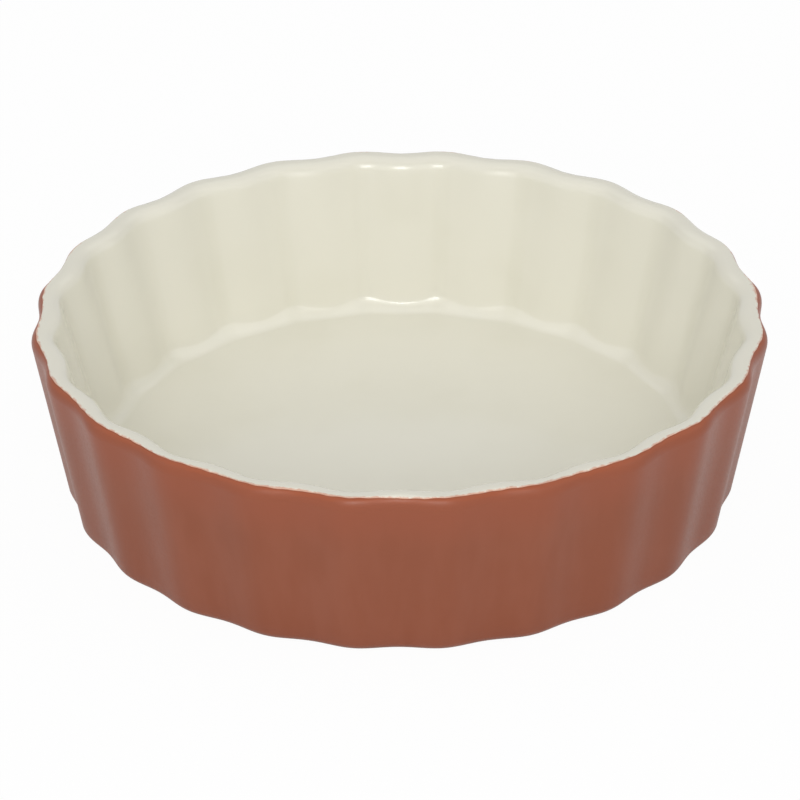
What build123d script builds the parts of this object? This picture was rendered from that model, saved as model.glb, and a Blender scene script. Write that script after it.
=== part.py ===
from build123d import *

import os
from math import cos, pi, radians, sin, sqrt

# A round baking dish of glazed stoneware with a fluted wall, in millimetres.
# It stands on the table at z = 0, with +Z up through its middle and its front towards -Y.
# Four layers make it: the fired clay body, the pale glaze that lines it and runs over its lip,
# the coloured glaze on its outside wall, and the coloured glaze in the recess underneath.

# Flutes. A ridge on the outside is a groove on the inside, at the same angle from the middle,
# and a hollow on the outside is a swell on the inside. A hollow faces the front.
flute_count = 24
points_per_flute_count = 12
ridge_sharpness_share = 1.4
groove_sharpness_share = 0.5

# Outside wall, measured to its ridges, where its straight side would meet the table and the lip
height = 64.0
foot_radius = 114.4
rim_radius = 124.9
foot_flute_depth = 1.7
rim_flute_depth = 2.2
foot_rounding = 4.4

# Wall and floor of the glazed dish. The wall is measured from a ridge through to its groove.
# Below a groove the floor's corner is wider and taller, so that the floor is nearly round.
lip_thickness = 8.5
wall_thickness_at_floor = 11.5
mouth_flute_depth = 2.3
floor_flute_depth = 2.1
floor_thickness = 7.0
floor_rounding = 4.0
groove_fill_width = 1.2
groove_fill_height = 2.2

# Lip, two quarters of ellipses that lean outwards with the wall, the inner one wider, lower
# and squarer, so that the lip is nearly flat on top
lip_rise = 4.8
inner_lip_rise = 4.2
lip_top_share = 0.41
inner_lip_roundness_share = 0.77

# Underside, a bare foot ring round a shallow recess with a sloping side
foot_ring_width = 6.5
recess_depth = 1.8
recess_slope_width = 1.2

# Glaze. The two colours meet on the outer shoulder of the lip, nearer its top on a ridge.
glaze_thickness = 0.4
base_glaze_setback = 0.8
ridge_joint_angle = radians(75)
hollow_joint_angle = radians(60)
glazed_foot_angle = radians(60)

quarter_turn = pi / 2
half_turn = pi
rounding_ring_count = 5
lip_ring_count = 9

lip_level = height - lip_rise
mouth_level = height - inner_lip_rise
foot_centre_level = foot_rounding - glaze_thickness
floor_level = recess_depth + floor_thickness
outer_lean = (rim_radius - foot_radius) / lip_level
floor_radius = foot_radius + outer_lean * floor_level - wall_thickness_at_floor
mouth_radius = rim_radius - lip_thickness
inner_lean = (mouth_radius - floor_radius) / (mouth_level - floor_level)


def mix(first, second, share):
    """The value that lies the given share of the way from the first to the second."""
    return first + (second - first) * share


def flute(angle, sharpness_share):
    """0 on a ridge or groove line and 1 halfway to the next, sharper at the line for a small share."""
    half_phase = flute_count * angle / 2 + quarter_turn
    dip = sqrt(sin(half_phase) ** 2 + sharpness_share**2) - sharpness_share
    return dip / (sqrt(1 + sharpness_share**2) - sharpness_share)


def outside_radius(angle, level):
    """The glazed outside wall."""
    depth = mix(foot_flute_depth, rim_flute_depth, level / lip_level)
    return foot_radius + outer_lean * level - depth * flute(angle, ridge_sharpness_share)


def inside_radius(angle, level):
    """The glazed inside wall, whose grooves are softer near the lip."""
    above_floor = level - floor_level
    low = floor_flute_depth * flute(angle, groove_sharpness_share)
    high = mouth_flute_depth * flute(angle, ridge_sharpness_share)
    depth = mix(low, high, above_floor / (mouth_level - floor_level))
    return floor_radius + inner_lean * above_floor - depth


def ring(place_at):
    """A closed curve through the radius and level that place_at gives at each angle from the front."""
    count = flute_count * points_per_flute_count
    points = []
    for step in range(count):
        angle = 2 * pi * step / count
        radius, level = place_at(angle)
        points.append(Vector(radius * sin(angle), -radius * cos(angle), level))
    return Wire([Edge.make_spline(points, periodic=True)])


# Each ring below lies on the glaze where its skin is 0, and that far under it otherwise.
def foot_ring(turn, skin):
    """Round the foot, from the side of the wall at no turn to the table at a quarter turn."""
    rounding = foot_rounding - skin
    level = foot_centre_level - rounding * sin(turn)
    inset = skin + rounding * (1 - cos(turn))
    return ring(lambda angle: (outside_radius(angle, level) - inset, level))


def round_corner(angle, turn, skin):
    """Radius and level at the floor's corner, from the wall at no turn to a quarter turn."""
    groove = 1 - flute(angle, groove_sharpness_share)
    wide = floor_rounding + groove_fill_width * groove
    tall = floor_rounding + groove_fill_height * groove
    level = floor_level + tall - (tall + skin) * sin(turn)
    inset = (wide + skin) * (1 - cos(turn)) - skin
    return inside_radius(angle, level) - inset, level


def floor_ring(turn, skin):
    """Round the corner of the floor, from the wall at no turn to the floor at a quarter turn."""
    return ring(lambda angle: round_corner(angle, turn, skin))


def over_lip(angle, turn, skin):
    """Radius and level on the lip, from the outside at no turn to the inside at half a turn."""
    if turn < quarter_turn:
        rise = lip_rise
        upright = sin(turn)
        across = lip_top_share * (1 - cos(turn))
    else:
        rise = inner_lip_rise
        upright = abs(sin(turn)) ** inner_lip_roundness_share
        across = mix(lip_top_share, 1, abs(cos(turn)) ** inner_lip_roundness_share)
    level = height - rise + (rise - skin) * upright
    outer = outside_radius(angle, level) - skin
    inner = inside_radius(angle, level) + skin
    return mix(outer, inner, across), level


def joint_angle(angle):
    """How far over the lip the two glazes meet."""
    return mix(ridge_joint_angle, hollow_joint_angle, flute(angle, ridge_sharpness_share))


def shoulder_ring(share, skin):
    """Up the lip's outer shoulder, from the wall at 0 to the colour joint at 1."""
    return ring(lambda angle: over_lip(angle, share * joint_angle(angle), skin))


def crown_ring(share, skin):
    """On over the lip, from the colour joint at 0 to the inside wall at 1."""
    return ring(lambda angle: over_lip(angle, mix(joint_angle(angle), half_turn, share), skin))


def surface(rings, ruled=False):
    """The faces of a smooth or straight-sided band through some rings."""
    return Shell.make_loft(rings, ruled).faces()


def rounded(ring_at, start, end, count, skin):
    """A smooth band through evenly spaced rings."""
    steps = [mix(start, end, step / (count - 1)) for step in range(count)]
    return surface([ring_at(step, skin) for step in steps])


def straight(first_ring, last_ring):
    """A straight-sided band between two rings."""
    return surface([first_ring, last_ring], ruled=True)


def glaze_edge(ring_at, place):
    """The narrow face where a glaze ends, from the clay out to its surface."""
    return straight(ring_at(place, glaze_thickness), ring_at(place, 0))


def solid(faces):
    """The closed solid inside some faces that meet edge to edge."""
    return Solid(Shell(faces))


def outer_skin(skin):
    """The outside, from the end of its glaze at the foot up to the colour joint."""
    foot = rounded(foot_ring, glazed_foot_angle, 0, rounding_ring_count, skin)
    wall = straight(foot_ring(0, skin), shoulder_ring(0, skin))
    return foot + wall + rounded(shoulder_ring, 0, 1, lip_ring_count, skin)


def inner_skin(skin):
    """The inside, from the colour joint over the lip and down to the middle of the floor."""
    lip = rounded(crown_ring, 0, 1, lip_ring_count, skin)
    wall = straight(crown_ring(1, skin), floor_ring(0, skin))
    corner = rounded(floor_ring, 0, quarter_turn, rounding_ring_count, skin)
    return lip + wall + corner + [Face(floor_ring(quarter_turn, skin))]


# The clay under the glazes, and the joints where they end
clay_outside = outer_skin(glaze_thickness)
clay_inside = inner_skin(glaze_thickness)
colour_joint = glaze_edge(shoulder_ring, 1)
foot_joint = glaze_edge(foot_ring, glazed_foot_angle)

# Stoneware body, bare round the foot, with the recess that leaves a foot ring under it
foot_ring_edge = foot_ring(quarter_turn, glaze_thickness)
bare_foot = rounded(foot_ring, quarter_turn, glazed_foot_angle, rounding_ring_count, glaze_thickness)
blank = solid(clay_outside + clay_inside + bare_foot + [Face(foot_ring_edge)])
recess_radius = foot_radius - foot_rounding - foot_ring_width
recess_ceiling_radius = recess_radius - recess_slope_width
recess = Solid.make_cone(recess_radius, recess_ceiling_radius, recess_depth)
stoneware_body = blank - recess

# Glazes
cream_glaze_lining = solid(inner_skin(0) + colour_joint + clay_inside)
terracotta_glaze_wall_coat = solid(outer_skin(0) + colour_joint + foot_joint + clay_outside)
base_glaze_radius = recess_ceiling_radius - base_glaze_setback
base_glaze_plane = Plane((0, 0, recess_depth - glaze_thickness))
terracotta_glaze_base_coat = Solid.make_cylinder(base_glaze_radius, glaze_thickness, base_glaze_plane)

nodes = {
    "stoneware_body": stoneware_body,
    "cream_glaze_lining": cream_glaze_lining,
    "terracotta_glaze_wall_coat": terracotta_glaze_wall_coat,
    "terracotta_glaze_base_coat": terracotta_glaze_base_coat,
}
os.makedirs("parts", exist_ok=True)
for name, shape in nodes.items():
    export_step(shape, f"parts/{name}.step")
    print(name, round(shape.volume), "cubic mm")
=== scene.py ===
"""The looks of a fluted quiche dish of glazed stoneware, in metres.

The dish stands on the floor at z = 0, with +Z up through its middle and its front towards -Y.
An angle is measured round the dish from its front towards +X. A turn is measured round a rounding.
"""

import logging
import math
from collections.abc import Callable, Sequence
from dataclasses import dataclass, field
from enum import Enum
from functools import partial

import bmesh
import bpy
import numpy as np
from mathutils import Matrix, Vector

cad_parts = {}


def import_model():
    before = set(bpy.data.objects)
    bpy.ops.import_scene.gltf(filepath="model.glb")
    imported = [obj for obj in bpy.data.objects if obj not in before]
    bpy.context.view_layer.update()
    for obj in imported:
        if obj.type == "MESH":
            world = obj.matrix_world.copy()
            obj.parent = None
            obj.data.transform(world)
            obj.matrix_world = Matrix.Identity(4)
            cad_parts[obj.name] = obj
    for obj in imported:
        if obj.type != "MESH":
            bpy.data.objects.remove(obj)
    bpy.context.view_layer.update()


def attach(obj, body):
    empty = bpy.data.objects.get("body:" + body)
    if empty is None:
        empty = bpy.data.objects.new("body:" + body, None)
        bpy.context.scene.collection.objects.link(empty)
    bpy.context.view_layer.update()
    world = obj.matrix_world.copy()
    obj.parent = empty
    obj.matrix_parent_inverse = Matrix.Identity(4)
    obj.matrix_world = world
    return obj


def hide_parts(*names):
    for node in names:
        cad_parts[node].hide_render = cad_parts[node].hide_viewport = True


log = logging.getLogger("quiche_dish")

MM = 0.001
Number = float | np.ndarray
Span = tuple[float, float]
Colour = tuple[float, float, float]
Tint = Colour | bpy.types.NodeSocket
Place = tuple[np.ndarray, np.ndarray]
PlaceAt = Callable[[np.ndarray], Place]
TurnAt = Callable[[np.ndarray], np.ndarray]
Waves = tuple[tuple[int, float, float], ...]

# The small circle round the axis that one flat face closes
AXIS_CAP = 3 * MM
# The gap that is noted where no colour of the joint reaches
FAR_FROM_JOINT = 50 * MM
# The unevenness of a circle that wobbles
EDGE_WAVES: Waves = ((7, 1.0, 0.5), (19, 0.6, 2.0), (43, 0.4, 0.0))
QUARTER_TURN = math.pi / 2
HALF_TURN = math.pi
PLAIN_WHITE = (1.0, 1.0, 1.0, 1.0)


def mix(first: Number, second: Number, share: Number) -> Number:
    """The value that lies the given share of the way from the first to the second."""
    return first + (second - first) * share


def spread(first: float, last: float, count: int) -> list[float]:
    """Evenly spaced values from the first to the last, both among them."""
    return [mix(first, last, step / (count - 1)) for step in range(count)]


def ripple(angle: np.ndarray, waves: Waves) -> np.ndarray:
    """The sum of some waves round the dish, each given by its count, its share and its phase."""
    return sum(share * np.cos(count * angle + phase) for count, share, phase in waves)


@dataclass(frozen=True)
class Ring:
    """One line round the dish, which a layer's section passes through.

    Attributes:
        place: Gives the radius and level at each of some angles.
        joint_gap: How far along the surface the ring lies from the colour joint.
    """

    place: PlaceAt
    joint_gap: float


@dataclass(frozen=True)
class DishForm:
    """The glazed surface of the dish, which every layer follows at a depth called its skin."""

    flute_count: int = 24
    ridge_sharpness: float = 1.4
    groove_sharpness: float = 0.5
    height: float = 64.0 * MM
    foot_radius: float = 114.4 * MM
    rim_radius: float = 124.9 * MM
    foot_flute_depth: float = 1.7 * MM
    rim_flute_depth: float = 2.2 * MM
    foot_rounding: float = 4.4 * MM
    lip_thickness: float = 8.5 * MM
    wall_thickness_at_floor: float = 11.5 * MM
    mouth_flute_depth: float = 2.3 * MM
    floor_flute_depth: float = 2.1 * MM
    groove_fill_width: float = 1.2 * MM
    groove_fill_height: float = 2.2 * MM
    floor_level: float = 8.8 * MM
    floor_rounding: float = 4.0 * MM
    lip_rise: float = 4.8 * MM
    inner_lip_rise: float = 4.2 * MM
    lip_top_share: float = 0.41
    inner_lip_roundness: float = 0.77
    foot_ring_width: float = 6.5 * MM
    recess_depth: float = 1.8 * MM
    recess_slope_width: float = 1.2 * MM
    glaze_thickness: float = 0.4 * MM
    ridge_joint_turn: float = math.radians(75)
    hollow_joint_turn: float = math.radians(60)
    joint_drift: float = math.radians(4.5)
    joint_waves: Waves = (
        (5, -1.0, 0.0), (13, 0.35, 1.9), (29, 0.28, 0.6),
        (36, 0.2, 2.2), (98, 0.2, 2.2), (127, 0.3, 0.0)
    )
    back_joint_drop: float = math.radians(12)
    back_joint_start: float = math.radians(92)
    back_joint_fade: float = math.radians(18)
    kiln_warp: float = 0.08 * MM
    kiln_waves: Waves = ((2, 0.3, 0.4), (3, 0.2, -0.9))
    mouth_unevenness: float = 0.13
    mouth_wave_count: int = 11

    @property
    def lip_level(self) -> float:
        """Where the outside wall ends and the lip begins."""
        return self.height - self.lip_rise

    @property
    def mouth_level(self) -> float:
        """Where the lip ends and the inside wall begins."""
        return self.height - self.inner_lip_rise

    @property
    def outer_lean(self) -> float:
        """How far the outside wall leans out for each unit of height."""
        return (self.rim_radius - self.foot_radius) / self.lip_level

    @property
    def floor_radius(self) -> float:
        """Where the inside wall would meet the floor."""
        return self.foot_radius + self.outer_lean * self.floor_level - self.wall_thickness_at_floor

    @property
    def mouth_radius(self) -> float:
        """The inside wall at the lip, measured to its grooves."""
        return self.rim_radius - self.lip_thickness

    @property
    def inner_lean(self) -> float:
        """How far the inside wall leans out for each unit of height."""
        return (self.mouth_radius - self.floor_radius) / (self.mouth_level - self.floor_level)

    @property
    def recess_radius(self) -> float:
        """The inner edge of the foot ring."""
        return self.foot_radius - self.foot_rounding - self.foot_ring_width

    @property
    def recess_ceiling_radius(self) -> float:
        """The rim of the recess's flat ceiling, inside its slope."""
        return self.recess_radius - self.recess_slope_width

    def flute(self, angle: np.ndarray, sharpness: float) -> np.ndarray:
        """How far a fluted surface dips from its ridge or groove line.

        Args:
            angle: Angles round the dish.
            sharpness: Sharper at the line for a small value.

        Returns:
            0 on the line and 1 halfway to the next.
        """
        half_phase = self.flute_count * angle / 2 + QUARTER_TURN
        dip = np.sqrt(np.sin(half_phase) ** 2 + sharpness**2) - sharpness
        return dip / (math.sqrt(1 + sharpness**2) - sharpness)

    def warp(self, angle: np.ndarray) -> np.ndarray:
        """The slight inward warp that firing leaves in the round of the wall."""
        return self.kiln_warp * (0.5 + ripple(angle, self.kiln_waves))

    def outside_radius(self, angle: np.ndarray, level: Number) -> np.ndarray:
        """The outside wall.

        Args:
            angle: Angles round the dish.
            level: The level above the table.

        Returns:
            The wall's radius at each angle.
        """
        depth = mix(self.foot_flute_depth, self.rim_flute_depth, level / self.lip_level)
        ridge = self.foot_radius + self.outer_lean * level
        return ridge - depth * self.flute(angle, self.ridge_sharpness) - self.warp(angle)

    def inside_radius(self, angle: np.ndarray, level: Number) -> np.ndarray:
        """The inside wall, whose grooves are softer near the lip and a little uneven there.

        Args:
            angle: Angles round the dish.
            level: The level above the table.

        Returns:
            The wall's radius at each angle.
        """
        above_floor = level - self.floor_level
        low = self.floor_flute_depth * self.flute(angle, self.groove_sharpness)
        full = 1 - self.mouth_unevenness * (0.5 + 0.5 * np.cos(self.mouth_wave_count * angle))
        high = self.mouth_flute_depth * full * self.flute(angle, self.ridge_sharpness)
        depth = mix(low, high, above_floor / (self.mouth_level - self.floor_level))
        return self.floor_radius + self.inner_lean * above_floor - depth - self.warp(angle)

    def foot(self, angle: np.ndarray, turn: Number, skin: float) -> Place:
        """The rounded foot.

        Args:
            angle: Angles round the dish.
            turn: From the side of the wall at 0 to the table at a quarter turn.
            skin: The depth under the glazed surface.

        Returns:
            Radius and level at each angle.
        """
        rounding = self.foot_rounding - skin
        level = self.foot_rounding - self.glaze_thickness - rounding * np.sin(turn)
        inset = skin + rounding * (1 - np.cos(turn))
        return self.outside_radius(angle, level) - inset, level + 0 * angle

    def corner(self, angle: np.ndarray, turn: float, skin: float) -> Place:
        """The floor's corner, widest and tallest below a groove, so that the floor is nearly round.

        Args:
            angle: Angles round the dish.
            turn: From the wall at 0 to the floor at a quarter turn.
            skin: The depth under the glazed surface.

        Returns:
            Radius and level at each angle.
        """
        groove = 1 - self.flute(angle, self.groove_sharpness)
        tall = self.floor_rounding + self.groove_fill_height * groove
        wide = self.floor_rounding + self.groove_fill_width * groove
        level = self.floor_level + tall - (tall + skin) * np.sin(turn)
        inset = (wide + skin) * (1 - np.cos(turn)) - skin
        return self.inside_radius(angle, level) - inset, level

    def over_lip(self, angle: np.ndarray, turn: Number, skin: Number) -> Place:
        """The lip.

        Args:
            angle: Angles round the dish.
            turn: From the outside wall at 0 to the inside wall at half a turn.
            skin: The depth under the glazed surface, or the height above it if negative.

        Returns:
            Radius and level at each angle.
        """
        outside = turn < QUARTER_TURN
        power = np.where(outside, 1.0, self.inner_lip_roundness)
        upright, sideways = np.abs(np.sin(turn)) ** power, np.abs(np.cos(turn)) ** power
        rise = np.where(outside, self.lip_rise, self.inner_lip_rise)
        level = self.height - rise + (rise - skin) * upright + 0 * angle
        outer = self.outside_radius(angle, level) - skin
        inner = self.inside_radius(angle, level) + skin
        across = mix(self.lip_top_share, np.where(outside, 0.0, 1.0), sideways)
        return mix(outer, inner, across), level

    def joint_turn(self, angle: np.ndarray) -> np.ndarray:
        """Where the two colours meet: nearer the lip's top on a ridge, lower behind, and uneven.

        Args:
            angle: Angles round the dish.

        Returns:
            The turn over the lip at each angle.
        """
        dip = self.flute(angle, self.ridge_sharpness)
        even = mix(self.ridge_joint_turn, self.hollow_joint_turn, dip)
        drift = self.joint_drift * ripple(angle, self.joint_waves)
        behind = np.clip((np.abs(angle) - self.back_joint_start) / self.back_joint_fade, 0, 1)
        drop = self.back_joint_drop * behind * behind * (3 - 2 * behind)
        return even + drift - drop

    def past_joint(self, angle: np.ndarray, gap: float) -> np.ndarray:
        """A line that runs along the colour joint.

        Args:
            angle: Angles round the dish.
            gap: How far along the surface from the joint, inwards if positive.

        Returns:
            The turn over the lip at each angle.
        """
        turn, level = self.joint_turn(angle), self.lip_level
        wall = self.outside_radius(angle, level) - self.inside_radius(angle, level)
        arc = np.hypot(self.lip_top_share * wall * np.sin(turn), self.lip_rise * np.cos(turn))
        return turn + gap / arc


def between(first: PlaceAt, last: PlaceAt, share: float) -> PlaceAt:
    """A line round the dish on the straight way between two others.

    Args:
        first: The line at a share of 0.
        last: The line at a share of 1.
        share: How far along the way it lies.

    Returns:
        The line.
    """

    def place(angle: np.ndarray) -> Place:
        """Radius and level at some angles."""
        near, far = first(angle), last(angle)
        return mix(near[0], far[0], share), mix(near[1], far[1], share)

    return place


def circle(radius: float, level: float, wobble: float = 0.0) -> PlaceAt:
    """A level circle round the dish.

    Args:
        radius: Its radius.
        level: Its level above the table.
        wobble: How uneven it is.

    Returns:
        The circle.
    """

    def place(angle: np.ndarray) -> Place:
        """Radius and level at some angles."""
        return radius + wobble * ripple(angle, EDGE_WAVES), level + 0 * angle

    return place


@dataclass
class Section:
    """A chain of rings that is carried round the dish to make one closed piece.

    Attributes:
        steps_per_flute: How finely each flute is divided.
        crowding: How much closer together the divisions stand on a ridge or groove line.
        wall_start: The radius from which a groove is noted.
        wall_fade: How far on from there it is noted in full.
        crown_width: The gap that is noted where the lip ends, counted from its reach.
        shoulder_power: How soon the noted gap falls up the outer shoulder.
    """

    form: DishForm
    steps_per_flute: int
    rings: list[Ring] = field(default_factory=list)
    crowding: float = 0.45
    wall_start: float = 94 * MM
    wall_fade: float = 6 * MM
    crown_width: float = 8 * MM
    shoulder_power: float = 0.25

    def add(self, place: PlaceAt, gap: float = FAR_FROM_JOINT) -> None:
        """Adds one ring."""
        self.rings.append(Ring(place, gap))

    def rounding(self, part: Callable[..., Place], turns: Sequence[float], skin: float) -> None:
        """Adds rings round a rounding, which a method of the form gives."""
        for turn in turns:
            self.add(partial(part, turn=turn, skin=skin))

    def straight(self, last: PlaceAt, count: int) -> None:
        """Adds rings on straight lines from the chain's end.

        Args:
            last: Where the lines lead. It isn't added.
            count: How many rings there are.
        """
        first = self.rings[-1].place
        for step in range(1, count + 1):
            self.add(between(first, last, step / (count + 1)))

    def on_lip(self, turn_at: TurnAt, skin: float, gap: float) -> None:
        """Adds one ring on the lip, at the turn that is given for each angle."""
        self.add(lambda angle: self.form.over_lip(angle, turn_at(angle), skin), gap)

    def shoulder(self, gaps: Sequence[float], skin: float) -> None:
        """Adds rings on the lip's outer shoulder.

        Args:
            gaps: How far before the colour joint each lies. None lies below the wall's top.
            skin: Their depth under the glazed surface.
        """
        past = self.form.past_joint
        for gap in gaps:
            self.on_lip(lambda angle, gap=gap: np.maximum(past(angle, -gap), 0.0), skin, gap)

    def over_shoulder(self, shares: Sequence[float], reach: float, skin: float) -> None:
        """Adds rings between the outside wall and the colour joint.

        Args:
            shares: Each ring's share of the way up.
            reach: How far before the joint the way ends.
            skin: Their depth under the glazed surface.
        """
        past = self.form.past_joint
        for share in shares:
            gap = mix(FAR_FROM_JOINT, reach, share**self.shoulder_power)
            self.on_lip(lambda angle, share=share: share * past(angle, -reach), skin, gap)

    def over_crown(self, shares: Sequence[float], reach: float, skin: float) -> None:
        """Adds rings between the colour joint and the inside wall.

        Args:
            shares: Each ring's share of the way in.
            reach: How far past the joint the way begins.
            skin: Their depth under the glazed surface.
        """
        past = self.form.past_joint
        for share in shares:
            gap = reach + share * self.crown_width
            self.on_lip(
                lambda angle, share=share: mix(past(angle, reach), HALF_TURN, share), skin, gap
            )

    def carry_round(self, name: str, closed: bool) -> bpy.types.Object:
        """Spins the chain into a piece, divides it finely, and lets every ring take its place.

        Args:
            name: The piece's name.
            closed: Whether the chain's two ends meet. Otherwise each is capped near the axis.

        Returns:
            The piece, linked to the scene.
        """
        shape = bmesh.new()
        row = shape.verts.layers.int.new("row")
        front = np.zeros(1)
        chain = []
        for index, ring in enumerate(self.rings):
            radius, level = ring.place(front)
            corner = shape.verts.new((0.0, -radius[0], level[0]))
            corner[row] = index
            chain.append(corner)
        edges = [shape.edges.new(pair) for pair in zip(chain, chain[1:])]
        if closed:
            edges.append(shape.edges.new((chain[-1], chain[0])))
        bmesh.ops.spin(
            shape,
            geom=chain + edges,
            cent=(0, 0, 0),
            axis=(0, 0, 1),
            angle=2 * math.pi,
            steps=2 * self.form.flute_count,
            use_merge=True,
        )
        around = [edge for edge in shape.edges if edge.verts[0][row] == edge.verts[1][row]]
        cuts = self.steps_per_flute // 2 - 1
        bmesh.ops.subdivide_edges(shape, edges=around, cuts=cuts, use_grid_fill=True)
        if not closed:
            ends = [edge for edge in shape.edges if edge.is_boundary]
            bmesh.ops.holes_fill(shape, edges=ends, sides=0)
        bmesh.ops.recalc_face_normals(shape, faces=shape.faces)
        mesh = bpy.data.meshes.new(name)
        shape.to_mesh(mesh)
        shape.free()
        self._flute(mesh)
        mesh.shade_smooth()
        piece = bpy.data.objects.new(name, mesh)
        bpy.context.scene.collection.objects.link(piece)
        return piece

    def _flute(self, mesh: bpy.types.Mesh) -> None:
        """Moves each vertex to its ring's place, and notes its gap to the joint and its groove.

        Args:
            mesh: The spun mesh, whose vertices know their row in the chain.
        """
        form, count = self.form, len(mesh.vertices)
        rows = np.zeros(count, np.int32)
        spots = np.zeros(count * 3, np.float32)
        mesh.attributes["row"].data.foreach_get("value", rows)
        mesh.vertices.foreach_get("co", spots)
        spots = spots.reshape(-1, 3).astype(float)
        even = np.arctan2(spots[:, 0], -spots[:, 1])
        angle = even + self.crowding * np.sin(form.flute_count * even) / form.flute_count
        away = np.hypot(spots[:, 0], spots[:, 1])
        on_wall = np.clip((away - self.wall_start) / self.wall_fade, 0, 1)
        gap = np.zeros(count, np.float32)
        for index, ring in enumerate(self.rings):
            mine = rows == index
            turned = angle[mine]
            radius, level = ring.place(turned)
            spots[mine] = np.stack([radius * np.sin(turned), -radius * np.cos(turned), level], 1)
            gap[mine] = ring.joint_gap
        mesh.vertices.foreach_set("co", spots.astype(np.float32).ravel())
        mesh.attributes.remove(mesh.attributes["row"])
        notes = {
            "joint_gap": gap / MM,
            "groove": (1 - form.flute(angle, form.groove_sharpness)) * on_wall,
        }
        for title, values in notes.items():
            note = mesh.attributes.new(title, "FLOAT", "POINT")
            note.data.foreach_set("value", values.astype(np.float32))
        mesh.update()


@dataclass(frozen=True)
class Mottle:
    """Soft unevenness of a finish.

    Attributes:
        size: The size of its blotches.
        detail: How many finer layers of unevenness they hold.
        relief: How far it raises the surface.
        squeeze: How much it is squeezed along each axis, or stretched if less than 1.
        fineness: How strong each finer layer is beside the last.
    """

    size: float
    detail: float
    relief: float = 0.0
    squeeze: Colour = (1.0, 1.0, 1.0)
    fineness: float = 0.55


@dataclass(frozen=True)
class Specks:
    """Small round specks in a finish.

    Attributes:
        spacing: How far apart the places for them lie.
        radius: The radius of the largest.
        share: The share of the places that hold one.
        full_radius: The share of its radius within which a speck shows in full.
        full_share: The share of the specks that show in full. The others are fainter.
    """

    spacing: float
    radius: float
    share: float
    full_radius: float = 0.5
    full_share: float = 0.7


class Signal:
    """A number that changes over a surface. Arithmetic on it adds Math nodes to its graph."""

    def __init__(self, graph: "Graph", socket: bpy.types.NodeSocket) -> None:
        """Wraps an output socket."""
        self.graph = graph
        self.socket = socket

    def _math(self, operation: str, *terms: "Signal | float") -> "Signal":
        """Adds one Math node over some terms, in order."""
        node = self.graph.add("ShaderNodeMath", {"operation": operation}, dict(enumerate(terms)))
        return Signal(self.graph, node.outputs[0])

    def __add__(self, other: "Signal | float") -> "Signal":
        """The sum."""
        return self._math("ADD", self, other)

    def __radd__(self, other: float) -> "Signal":
        """The sum, from a plain number."""
        return self._math("ADD", other, self)

    def __sub__(self, other: "Signal | float") -> "Signal":
        """The difference."""
        return self._math("SUBTRACT", self, other)

    def __rsub__(self, other: float) -> "Signal":
        """The difference, from a plain number."""
        return self._math("SUBTRACT", other, self)

    def __mul__(self, other: "Signal | float") -> "Signal":
        """The product."""
        return self._math("MULTIPLY", self, other)

    def __rmul__(self, other: float) -> "Signal":
        """The product, from a plain number."""
        return self._math("MULTIPLY", other, self)

    def most(self, other: "Signal | float") -> "Signal":
        """The larger of the two."""
        return self._math("MAXIMUM", self, other)

    def ramp(self, low: float, high: float) -> "Signal":
        """A smooth rise from 0 to 1.

        Args:
            low: The value up to which it is 0.
            high: The value from which it is 1. It may be the smaller one.

        Returns:
            The share.
        """
        values = {"Value": self, "From Min": low, "From Max": high}
        smooth = {"interpolation_type": "SMOOTHSTEP"}
        node = self.graph.add("ShaderNodeMapRange", smooth, values)
        return Signal(self.graph, node.outputs["Result"])


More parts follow.
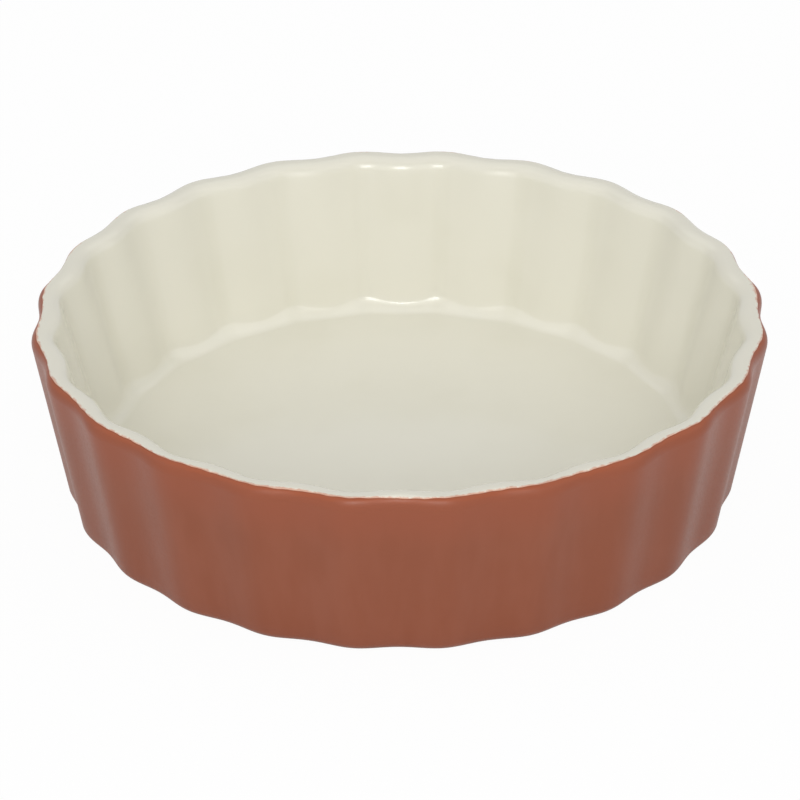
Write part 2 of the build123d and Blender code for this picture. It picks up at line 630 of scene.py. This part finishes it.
class Graph:
    """The node graph of one material or of the world."""

    def __init__(self, tree: bpy.types.NodeTree) -> None:
        """Takes over a node tree and empties it."""
        self.tree = tree
        tree.nodes.clear()

    def add(self, kind: str, settings: dict, values: dict) -> bpy.types.Node:
        """Adds one node.

        Args:
            kind: The node's type.
            settings: Its own settings by name, set before anything else.
            values: For each input by name or place, a signal, a socket to link, or a plain value.

        Returns:
            The node.
        """
        node = self.tree.nodes.new(kind)
        for name, value in settings.items():
            setattr(node, name, value)
        for key, value in values.items():
            source = value.socket if isinstance(value, Signal) else value
            if isinstance(source, bpy.types.NodeSocket):
                self.tree.links.new(source, node.inputs[key])
            else:
                node.inputs[key].default_value = source
        return node

    def where(self, squeeze: Colour = (1.0, 1.0, 1.0)) -> bpy.types.NodeSocket:
        """The place on the object, squeezed along its axes, in metres."""
        values = {"Vector": self.add("ShaderNodeTexCoord", {}, {}).outputs["Object"]}
        return self.add("ShaderNodeMapping", {}, values | {"Scale": squeeze}).outputs["Vector"]

    def mottle(self, kind: Mottle) -> Signal:
        """Soft unevenness.

        Args:
            kind: What it is like.

        Returns:
            A value about 0.5.
        """
        values = {"Scale": 1 / kind.size, "Detail": kind.detail, "Roughness": kind.fineness}
        values["Vector"] = self.where(kind.squeeze)
        return Signal(self, self.add("ShaderNodeTexNoise", {}, values).outputs[0])

    def specks(self, kind: Specks) -> Signal:
        """Small round specks, whose edges are soft.

        Args:
            kind: What they are like.

        Returns:
            1 on a speck and 0 elsewhere.
        """
        values = {"Vector": self.where(), "Scale": 1 / kind.spacing, "Randomness": 1.0}
        cells = self.add("ShaderNodeTexVoronoi", {"feature": "F1"}, values)
        chance = self.add("ShaderNodeSeparateColor", {}, {0: cells.outputs["Color"]})
        edge = kind.radius / kind.spacing
        near = Signal(self, cells.outputs["Distance"]).ramp(edge, kind.full_radius * edge)
        full = 1 - kind.full_share * kind.share
        return near * Signal(self, chance.outputs[0]).ramp(1 - kind.share, full)

    def note(self, title: str) -> Signal:
        """A value that each vertex of the piece carries."""
        node = self.add("ShaderNodeAttribute", {"attribute_name": title}, {})
        return Signal(self, node.outputs["Fac"])

    def height(self) -> Signal:
        """The level above the table."""
        split = self.add("ShaderNodeSeparateXYZ", {}, {0: self.where()})
        return Signal(self, split.outputs["Z"])

    def blend(self, first: Tint, second: Tint, share: Signal) -> bpy.types.NodeSocket:
        """A colour between two others.

        Args:
            first: The colour where the share is 0.
            second: The colour where the share is 1.
            share: How much of the second there is.

        Returns:
            The colour's socket.
        """
        values = {"Factor": share}
        for place, tint in ((6, first), (7, second)):
            values[place] = tint if isinstance(tint, bpy.types.NodeSocket) else (*tint, 1.0)
        return self.add("ShaderNodeMix", {"data_type": "RGBA"}, values).outputs[2]

    def finish(
        self, colour: bpy.types.NodeSocket, roughness: Signal, relief: Signal, refraction: float
    ) -> None:
        """Ends a material in one surface.

        Args:
            colour: Its colour.
            roughness: How dull it is, from 0 to 1.
            relief: How far it is raised, in metres.
            refraction: Its refractive index, which sets how strongly it mirrors.
        """
        values = {"Height": relief, "Strength": 1.0, "Distance": 1.0}
        normal = self.add("ShaderNodeBump", {}, values).outputs["Normal"]
        values = {"Base Color": colour, "Roughness": roughness, "Normal": normal, "IOR": refraction}
        shader = self.add("ShaderNodeBsdfPrincipled", {}, values)
        self.add("ShaderNodeOutputMaterial", {}, {"Surface": shader.outputs[0]})


def new_graph(name: str) -> tuple[bpy.types.Material, Graph]:
    """Makes a material to fill.

    Args:
        name: The material's name.

    Returns:
        The material and its empty graph.
    """
    material = bpy.data.materials.new(name)
    material.use_nodes = True
    return material, Graph(material.node_tree)


@dataclass(frozen=True)
class CreamGlaze:
    """Glossy cream glaze, thin and peach coloured where it runs out over the terracotta, with
    painted shade that makes it darker and greyer over the lip.

    Attributes:
        clouded_share: How much of the deep colour its clouds show.
        pooled_share: How much more of it shows where the glaze pools in a groove.
        lip_shade_fade: Millimetres past the joint, between which the painted shade on the lip fades
            into the plain cream.
        edge_fade: Millimetres past the frayed edge, between which the thin colour comes in.
        edge_setback: Millimetres by which the whole edge lies nearer the joint.
        fray_reach: Millimetres by which its fine fray runs in.
        sway_reach: Millimetres by which its slow sway runs in.
    """

    cream: Colour = (0.765, 0.745, 0.645)
    deep: Colour = (0.72, 0.70, 0.59)
    # Painted shade: a darker, greyer cream over the lip, which tones down how brightly the lamps
    # light it.
    lip: Colour = (0.722, 0.700, 0.600)
    thin_edge: Colour = (0.62, 0.36, 0.26)
    fleck: Colour = (0.36, 0.30, 0.22)
    roughness: float = 0.14
    roughness_swing: float = 0.05
    refraction: float = 1.5
    cloud: Mottle = Mottle(34 * MM, 2.0, 0.16 * MM)
    grain: Mottle = Mottle(3.2 * MM, 3.0, 0.007 * MM)
    fray: Mottle = Mottle(1.7 * MM, 3.0)
    sway: Mottle = Mottle(17 * MM, 1.0)
    flecks: Specks = Specks(9 * MM, 0.17 * MM, 0.05)
    roughness_fade: Span = (0.35, 0.8)
    cloud_fade: Span = (0.35, 0.75)
    clouded_share: float = 0.5
    groove_fade: Span = (0.7, 1.0)
    pooled_share: float = 0.35
    deep_fade: Span = (0.0, 1.3)
    lip_shade_fade: Span = (11.0, 7.0)
    edge_fade: Span = (0.55, -0.25)
    edge_setback: float = 1.2
    fray_reach: float = 2.0
    sway_reach: float = 1.1

    def material(self) -> bpy.types.Material:
        """Makes the finish.

        Returns:
            Its material.
        """
        material, graph = new_graph("cream_glaze")
        cloud, grain = graph.mottle(self.cloud), graph.mottle(self.grain)
        clouded = cloud.ramp(*self.cloud_fade) * self.clouded_share
        pooled = graph.note("groove").ramp(*self.groove_fade) * self.pooled_share
        colour = graph.blend(self.cream, self.deep, (clouded + pooled).ramp(*self.deep_fade))
        gap = graph.note("joint_gap")
        # Painted shade over the lip, fading out away from the joint.
        colour = graph.blend(colour, self.lip, gap.ramp(*self.lip_shade_fade))
        fray, sway = graph.mottle(self.fray), graph.mottle(self.sway)
        gap = gap - (fray * self.fray_reach + sway * self.sway_reach) + self.edge_setback
        colour = graph.blend(colour, self.thin_edge, gap.ramp(*self.edge_fade))
        colour = graph.blend(colour, self.fleck, graph.specks(self.flecks))
        rough = self.roughness + grain.ramp(*self.roughness_fade) * self.roughness_swing
        relief = cloud * self.cloud.relief + grain * self.grain.relief
        graph.finish(colour, rough, relief, self.refraction)
        return material


@dataclass(frozen=True)
class TerracottaGlaze:
    """Satin terracotta glaze with faint runs down the wall, with painted light that makes it
    brightest under the lip and painted shade in a dark line at the foot.

    Attributes:
        run_share: How much of the light colour follows the runs. The rest follows the clouds.
        painted_light_sway: How much lower the painted light on the upper wall begins along a run.
        painted_light_fade: The levels between which that painted light comes in.
        warm_fade: Millimetres from the joint, between which the warm colour comes in.
        foot_shade_sway: How much the painted shade at the foot goes up and down.
        foot_shade_fade: The levels between which that painted shade comes in.
    """

    body: Colour = (0.256, 0.0770, 0.0387)
    light: Colour = (0.271, 0.0855, 0.0458)
    # Painted light: a lighter terracotta for the upper wall and shoulder, standing in for the light
    # that falls there from above.
    painted_upper_light: Colour = (0.286, 0.0820, 0.0415)
    warm: Colour = (0.33, 0.079, 0.029)
    # Painted shade: a dark line round the foot, where it meets the table.
    foot_painted_shade: Colour = (0.17, 0.058, 0.04)
    roughness: float = 0.3
    roughness_swing: float = 0.08
    refraction: float = 1.31
    runs: Mottle = Mottle(7 * MM, 2.0, 0.02 * MM, (1.0, 1.0, 0.14))
    cloud: Mottle = Mottle(28 * MM, 2.0, 0.14 * MM)
    grain: Mottle = Mottle(0.9 * MM, 3.0, 0.002 * MM)
    pits: Specks = Specks(5 * MM, 0.2 * MM, 0.08)
    pit_depth: float = 0.03 * MM
    roughness_fade: Span = (0.3, 0.75)
    run_share: float = 0.6
    light_fade: Span = (0.38, 0.66)
    painted_light_sway: float = 8 * MM
    painted_light_fade: Span = (44 * MM, 63 * MM)
    warm_fade: Span = (5.5, 0.4)
    warm_share: float = 0.55
    foot_shade_sway: float = 1.2 * MM
    foot_shade_fade: Span = (1.1 * MM, 0.2 * MM)
    foot_shade_share: float = 0.7

    def material(self) -> bpy.types.Material:
        """Makes the finish.

        Returns:
            Its material.
        """
        material, graph = new_graph("terracotta_glaze")
        runs, cloud, grain = (graph.mottle(kind) for kind in (self.runs, self.cloud, self.grain))
        lighter = (runs * self.run_share + cloud * (1 - self.run_share)).ramp(*self.light_fade)
        colour = graph.blend(self.body, self.light, lighter)
        # Painted light on the upper wall, reaching lower along the runs.
        painted_upper_light = (graph.height() + runs * self.painted_light_sway).ramp(*self.painted_light_fade)
        colour = graph.blend(colour, self.painted_upper_light, painted_upper_light)
        warm = graph.note("joint_gap").ramp(*self.warm_fade) * self.warm_share
        colour = graph.blend(colour, self.warm, warm)
        # Painted shade round the foot, rising and falling with the runs.
        low = (graph.height() + (runs - 0.5) * self.foot_shade_sway).ramp(*self.foot_shade_fade)
        colour = graph.blend(colour, self.foot_painted_shade, low * self.foot_shade_share)
        rough = self.roughness + grain.ramp(*self.roughness_fade) * self.roughness_swing
        relief = cloud * self.cloud.relief + runs * self.runs.relief + grain * self.grain.relief
        relief = relief - graph.specks(self.pits) * self.pit_depth
        graph.finish(colour, rough, relief, self.refraction)
        return material


@dataclass(frozen=True)
class FiredClay:
    """Bare buff stoneware, matt and speckled."""

    buff: Colour = (0.56, 0.44, 0.31)
    dark: Colour = (0.44, 0.33, 0.22)
    iron: Colour = (0.16, 0.09, 0.05)
    roughness: float = 0.8
    roughness_swing: float = 0.15
    refraction: float = 1.45
    cloud: Mottle = Mottle(12 * MM, 3.0, 0.08 * MM)
    grit: Mottle = Mottle(0.6 * MM, 4.0, 0.05 * MM)
    iron_specks: Specks = Specks(1.6 * MM, 0.32 * MM, 0.2)
    cloud_share: float = 0.5
    dark_fade: Span = (0.4, 0.65)

    def material(self) -> bpy.types.Material:
        """Makes the finish.

        Returns:
            Its material.
        """
        material, graph = new_graph("fired_stoneware")
        cloud, grit = graph.mottle(self.cloud), graph.mottle(self.grit)
        darker = (cloud * self.cloud_share + grit * (1 - self.cloud_share)).ramp(*self.dark_fade)
        colour = graph.blend(self.buff, self.dark, darker)
        colour = graph.blend(colour, self.iron, graph.specks(self.iron_specks))
        rough = self.roughness + cloud * self.roughness_swing
        relief = cloud * self.cloud.relief + grit * self.grit.relief
        graph.finish(colour, rough, relief, self.refraction)
        return material


class Layer(Enum):
    """What each layer of the dish stands for: its node in the frame and its material slot."""

    BODY = ("stoneware_body", "fired_stoneware")
    LINING = ("cream_glaze_lining", "cream_glaze")
    WALL_COAT = ("terracotta_glaze_wall_coat", "terracotta_glaze")
    BASE_COAT = ("terracotta_glaze_base_coat", "terracotta_glaze")


def dress(piece: bpy.types.Object, layer: Layer, material: bpy.types.Material) -> None:
    """Gives a piece its material and lets it stand for its node.

    Args:
        piece: The finished piece.
        layer: The layer that it is.
        material: Its finish.
    """
    node, slot = layer.value
    piece.data.materials.append(material)
    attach(piece, "root")
    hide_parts(node)
    log.info("%s: %d faces, for %s", piece.name, len(piece.data.polygons), node)


@dataclass
class StonewareBody:
    """The fired clay, bare round the foot and hidden under the glazes elsewhere.

    Attributes:
        under_glaze: How deep it lies under the glazed surface.
        edge_rounding: How far the edges of the recess are worn round.
        covered_foot_turn: How far round the foot it stays that deep.
        bare_foot_turn: Where on the foot the bare clay begins.
    """

    form: DishForm
    finish: FiredClay
    under_glaze: float = 0.42 * MM
    steps_per_flute: int = 14
    edge_rounding: float = 0.35 * MM
    covered_foot_turn: float = math.radians(50)
    bare_foot_turn: float = math.radians(58)

    def build(self) -> None:
        """Makes the body and dresses it."""
        form, skin = self.form, self.under_glaze
        inner, outer = math.atan(form.inner_lean), math.atan(form.outer_lean)
        section = Section(form, self.steps_per_flute)
        section.add(circle(AXIS_CAP, form.floor_level - skin))
        section.straight(partial(form.corner, turn=QUARTER_TURN, skin=skin), count=3)
        section.rounding(form.corner, spread(QUARTER_TURN, inner, count=6), skin)
        section.straight(partial(form.over_lip, turn=HALF_TURN, skin=skin), count=5)
        section.rounding(form.over_lip, spread(HALF_TURN, 0, count=15), skin)
        section.straight(partial(form.foot, turn=outer, skin=skin), count=5)
        section.rounding(form.foot, spread(outer, self.covered_foot_turn, count=4), skin)
        bare = spread(self.bare_foot_turn, QUARTER_TURN, count=7)
        section.rounding(form.foot, bare, form.glaze_thickness)
        self._underside(section)
        piece = section.carry_round("fired_clay_body", closed=False)
        dress(piece, Layer.BODY, self.finish.material())

    def _underside(self, section: Section) -> None:
        """Adds the foot ring's flat and the recess, with their edges worn round.

        Args:
            section: The chain, which has come round the foot.
        """
        rim, ceiling = self.form.recess_radius, self.form.recess_ceiling_radius
        deep, worn = self.form.recess_depth, self.edge_rounding
        along = worn * self.form.recess_slope_width / deep
        for radius, level in (
            (rim + worn, 0.0),
            (rim + 0.25 * worn, 0.2 * worn),
            (rim - along, worn),
            (ceiling + along, deep - worn),
            (ceiling - 0.25 * worn, deep - 0.2 * worn),
            (ceiling - worn, deep),
        ):
            section.add(circle(radius, level))
        section.straight(circle(AXIS_CAP, deep), count=2)
        section.add(circle(AXIS_CAP, deep))


@dataclass
class CreamLining:
    """The cream glaze, from its raised edge on the lip's outer shoulder down over the whole floor.

    Attributes:
        bead_reach: How far past the joint the raised edge is built up from.
        bead: Millimetres past the joint and above the surface, along the raised edge.
    """

    form: DishForm
    finish: CreamGlaze
    steps_per_flute: int = 28
    bead_reach: float = 2.6 * MM
    bead: tuple[Span, ...] = (
        (2.2, 0.0), (1.7, 0.05), (1.25, 0.14), (0.9, 0.215), (0.66, 0.25), (0.47, 0.255),
        (0.33, 0.23), (0.21, 0.18), (0.1, 0.1), (0.0, 0.0), (0.0, -0.12)
    )

    def build(self) -> None:
        """Makes the lining and dresses it."""
        form, depth = self.form, self.form.glaze_thickness
        lean = math.atan(form.inner_lean)
        section = Section(form, self.steps_per_flute)
        section.add(circle(AXIS_CAP, form.floor_level))
        section.straight(partial(form.corner, turn=QUARTER_TURN, skin=0.0), count=9)
        section.rounding(form.corner, spread(QUARTER_TURN, lean, count=12), 0.0)
        section.straight(partial(form.over_lip, turn=HALF_TURN, skin=0.0), count=16)
        section.over_crown(spread(1.0, 0.0, count=18), self.bead_reach, 0.0)
        for gap, rise in self.bead:
            section.add(partial(self._raised, gap=gap, rise=rise), gap * MM)
        section.over_crown(spread(0.0, 1.0, count=10), 0.0, depth)
        section.straight(partial(form.corner, turn=lean, skin=depth), count=5)
        section.rounding(form.corner, spread(lean, QUARTER_TURN, count=6), depth)
        section.straight(circle(AXIS_CAP, form.floor_level - depth), count=3)
        section.add(circle(AXIS_CAP, form.floor_level - depth))
        piece = section.carry_round("cream_lining", closed=False)
        dress(piece, Layer.LINING, self.finish.material())

    def _raised(self, angle: np.ndarray, gap: float, rise: float) -> Place:
        """A line of the raised edge, kept below the lip's top.

        Args:
            angle: Angles round the dish.
            gap: How far past the colour joint it lies, in millimetres.
            rise: How far above the surface it stands, in millimetres.

        Returns:
            Radius and level at each angle.
        """
        turn = self.form.past_joint(angle, gap * MM)
        room = self.form.height - self.form.over_lip(angle, turn, 0.0)[1]
        return self.form.over_lip(angle, turn, -np.minimum(rise * MM, room))


@dataclass
class TerracottaCoats:
    """The terracotta glaze on the outside wall, and the disc of it in the recess underneath.

    Attributes:
        lower_edge: Degrees round the foot and millimetres deep, along the wall coat's end.
        lower_edge_drift: How uneven that end is, in degrees.
        outer_foot_turn: How far round the foot the wall coat's surface goes.
        inner_foot_turn: How far its hidden side goes.
        joint_gaps: How far before the colour joint its surface's last rings lie.
        joint_reach: How far before it the evenly spaced ones end.
        joint_edge_depth: How deep in the joint one more ring lies.
        inner_start_share: Where the hidden side's first ring lies, as a share of the way up.
        base_setback: How far the base coat stays from the recess's slope.
        base_wobble: How uneven its rim is.
        base_edge: Millimetres in from the rim and up from the hidden side, along it.
    """

    form: DishForm
    finish: TerracottaGlaze
    wall_steps_per_flute: int = 28
    base_steps_per_flute: int = 14
    lower_edge: tuple[Span, ...] = (
        (61.5, 0.38), (61.5, 0.26), (60.5, 0.14), (58.5, 0.05), (55.5, 0.01)
    )
    lower_edge_drift: float = 0.9
    lower_edge_waves: Waves = ((9, 1.0, 0.0), (31, 0.7, 1.0), (83, 0.4, 2.0))
    outer_foot_turn: float = math.radians(52)
    inner_foot_turn: float = math.radians(58)
    joint_gaps: tuple[float, ...] = (0.8 * MM, 0.5 * MM, 0.25 * MM, 0.0)
    joint_reach: float = 1.1 * MM
    joint_edge_depth: float = 0.12 * MM
    inner_start_share: float = 0.95
    base_setback: float = 0.8 * MM
    base_wobble: float = 0.14 * MM
    base_edge: tuple[Span, ...] = (
        (1.2, 0.0), (0.6, 0.015), (0.3, 0.06), (0.1, 0.15), (0.0, 0.28), (0.0, 0.4)
    )

    def build(self) -> None:
        """Makes both coats and dresses them alike."""
        material = self.finish.material()
        dress(self._wall(), Layer.WALL_COAT, material)
        dress(self._base(), Layer.BASE_COAT, material)

    def _wall(self) -> bpy.types.Object:
        """Makes the coat from just above the table to the colour joint.

        Returns:
            The piece.
        """
        form, depth = self.form, self.form.glaze_thickness
        lean = math.atan(form.outer_lean)
        section = Section(form, self.wall_steps_per_flute)
        for turn, skin in self.lower_edge:
            section.add(partial(self._run_out, turn=turn, skin=skin))
        section.rounding(form.foot, spread(self.outer_foot_turn, lean, count=9), 0.0)
        section.straight(partial(form.over_lip, turn=0.0, skin=0.0), count=12)
        section.over_shoulder(spread(0.0, 1.0, count=14), self.joint_reach, 0.0)
        section.shoulder(self.joint_gaps, 0.0)
        section.shoulder([0.0], self.joint_edge_depth)
        section.shoulder([0.0], depth)
        section.over_shoulder(spread(self.inner_start_share, 0.0, count=8), 0.0, depth)
        section.straight(partial(form.foot, turn=lean, skin=depth), count=5)
        section.rounding(form.foot, spread(lean, self.inner_foot_turn, count=6), depth)
        return section.carry_round("terracotta_wall_coat", closed=True)

    def _run_out(self, angle: np.ndarray, turn: float, skin: float) -> Place:
        """A line of the coat's lower edge, which runs a little unevenly round the foot."""
        uneven = self.lower_edge_drift * ripple(angle, self.lower_edge_waves)
        return self.form.foot(angle, np.radians(turn + uneven), skin * MM)

    def _base(self) -> bpy.types.Object:
        """Makes the coat in the recess, with a rounded and slightly uneven edge.

        Returns:
            The piece.
        """
        rim = self.form.recess_ceiling_radius - self.base_setback
        top = self.form.recess_depth
        bottom = top - self.form.glaze_thickness
        section = Section(self.form, self.base_steps_per_flute)
        section.add(circle(AXIS_CAP, bottom))
        section.straight(circle(rim - self.base_edge[0][0] * MM, bottom), count=4)
        for inset, rise in self.base_edge:
            section.add(circle(rim - inset * MM, bottom + rise * MM, self.base_wobble))
        section.straight(circle(AXIS_CAP, top), count=2)
        section.add(circle(AXIS_CAP, top))
        return section.carry_round("terracotta_base_coat", closed=False)


@dataclass(frozen=True)
class Softbox:
    """A square soft lamp that faces the dish.

    Attributes:
        azimuth: Its direction round the dish, from the front towards +X, in degrees.
        elevation: Its direction above the floor, in degrees.
        distance: How far it stands from the dish.
        width: Its width, which is its height too.
        power: Its power in watts.
        aim_level: The level that it faces.
    """

    name: str
    azimuth: float
    elevation: float
    distance: float
    width: float
    power: float
    aim_level: float = 0.03

    def build(self) -> None:
        """Makes the lamp."""
        data = bpy.data.lights.new(self.name, "AREA")
        data.shape = "SQUARE"
        data.size = self.width
        data.energy = self.power
        lamp = bpy.data.objects.new(self.name, data)
        bpy.context.scene.collection.objects.link(lamp)
        lamp.matrix_world = (
            Matrix.Translation((0, 0, self.aim_level))
            @ Matrix.Rotation(math.radians(self.azimuth), 4, "Z")
            @ Matrix.Rotation(math.radians(90 - self.elevation), 4, "X")
            @ Matrix.Translation((0, 0, self.distance))
        )
        log.info("%s: %.0f W", self.name, self.power)


@dataclass
class Studio:
    """The floor, the world, the lamps and the camera.

    The camera's angles are in degrees.

    Attributes:
        floor_drop: How far the floor lies below the table's level.
        floor_glow_share: How much of a plain white it shows instead of its shaded self.
        mirrored_glow_share: How much of that a reflection shows.
        camera_pitch: How far the camera looks below its aim.
        camera_roll: How far it leans over.
        camera_turn: How far it stands round the dish from the front.
        camera_aim_level: The level that it is aimed at.
    """

    floor_reach: float = 4.0
    floor_drop: float = 0.1 * MM
    floor_white: Colour = (0.92, 0.92, 0.92)
    floor_glow_share: float = 0.96
    mirrored_glow_share: float = 0.32
    sky_strength: float = 0.298
    camera_distance: float = 1.39654
    camera_elevation: float = 29.6855
    camera_pitch: float = 0.0275
    camera_roll: float = -0.345
    camera_turn: float = 0.54
    camera_aim_level: float = 0.03
    picture_width_px: float = 800.0
    focal_length_px: float = 4060.5
    lamps: tuple[Softbox, ...] = (
        Softbox("front_key", -1.5, 26.0, 2.2, 0.8, 14.6),
        Softbox("front_panel", 0.0, 27.0, 2.2, 2.0, 12.0),
        Softbox("overhead_panel", 180.0, 72.0, 0.75, 0.9, 1.4),
        Softbox("left_panel", -75.0, 40.0, 2.2, 2.2, 9.5),
        Softbox("right_panel", 75.0, 40.0, 2.2, 2.2, 10.5),
    )

    def build(self) -> None:
        """Makes the whole studio."""
        self._floor()
        self._world()
        for lamp in self.lamps:
            lamp.build()
        self._camera()

    def _shown(self, graph: Graph, mirrored: float) -> Signal:
        """How much of a plain white shows instead of the surface's light.

        Args:
            graph: The graph to add to.
            mirrored: How much of it shows in a reflection or through glass.

        Returns:
            1 for the camera, the mirrored share there, and 0 for light.
        """
        path = graph.add("ShaderNodeLightPath", {}, {}).outputs
        names = ("Is Camera Ray", "Is Glossy Ray", "Is Transmission Ray")
        camera, glossy, through = (Signal(graph, path[name]) for name in names)
        return camera.most(glossy.most(through) * mirrored)

    def _floor(self) -> None:
        """A white floor that shows a soft shadow."""
        shape = bmesh.new()
        bmesh.ops.create_grid(shape, x_segments=2, y_segments=2, size=self.floor_reach)
        bmesh.ops.translate(shape, verts=shape.verts, vec=Vector((0, 0, -self.floor_drop)))
        mesh = bpy.data.meshes.new("studio_floor")
        shape.to_mesh(mesh)
        shape.free()
        floor = bpy.data.objects.new("studio_floor", mesh)
        bpy.context.scene.collection.objects.link(floor)
        material, graph = new_graph("studio_floor")
        paper = graph.add("ShaderNodeBsdfDiffuse", {}, {"Color": (*self.floor_white, 1.0)})
        glow = graph.add("ShaderNodeEmission", {}, {"Color": PLAIN_WHITE, "Strength": 1.0})
        share = self._shown(graph, self.mirrored_glow_share) * self.floor_glow_share
        ends = {0: share, 1: paper.outputs[0], 2: glow.outputs[0]}
        both = graph.add("ShaderNodeMixShader", {}, ends)
        graph.add("ShaderNodeOutputMaterial", {}, {"Surface": both.outputs[0]})
        mesh.materials.append(material)

    def _world(self) -> None:
        """An even white sky, brighter to look at than as a light."""
        world = bpy.data.worlds.new("studio_sky")
        bpy.context.scene.world = world
        world.use_nodes = True
        graph = Graph(world.node_tree)
        light, view = (
            graph.add("ShaderNodeBackground", {}, {"Color": PLAIN_WHITE, "Strength": strength})
            for strength in (self.sky_strength, 1.0)
        )
        ends = {0: self._shown(graph, 1.0), 1: light.outputs[0], 2: view.outputs[0]}
        both = graph.add("ShaderNodeMixShader", {}, ends)
        graph.add("ShaderNodeOutputWorld", {}, {"Surface": both.outputs[0]})

    def _camera(self) -> None:
        """A camera that looks down on the dish as in the photograph."""
        data = bpy.data.cameras.new("camera")
        data.lens = self.focal_length_px / self.picture_width_px * data.sensor_width
        camera = bpy.data.objects.new("camera", data)
        bpy.context.scene.collection.objects.link(camera)
        camera.matrix_world = (
            Matrix.Translation((0, 0, self.camera_aim_level))
            @ Matrix.Rotation(math.radians(self.camera_turn), 4, "Z")
            @ Matrix.Rotation(math.radians(90 - self.camera_elevation), 4, "X")
            @ Matrix.Translation((0, 0, self.camera_distance))
            @ Matrix.Rotation(math.radians(-self.camera_pitch), 4, "X")
            @ Matrix.Rotation(math.radians(self.camera_roll), 4, "Z")
        )
        bpy.context.scene.camera = camera


def main() -> None:
    """Builds the dish's layers and the studio, and logs each piece's faces and each lamp's power.
    """
    logging.basicConfig(level=logging.INFO)
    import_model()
    bpy.context.scene.view_settings.view_transform = "Standard"
    form = DishForm()
    StonewareBody(form, FiredClay()).build()
    CreamLining(form, CreamGlaze()).build()
    TerracottaCoats(form, TerracottaGlaze()).build()
    Studio().build()
    bpy.context.view_layer.update()


if __name__ == "__main__":
    main()
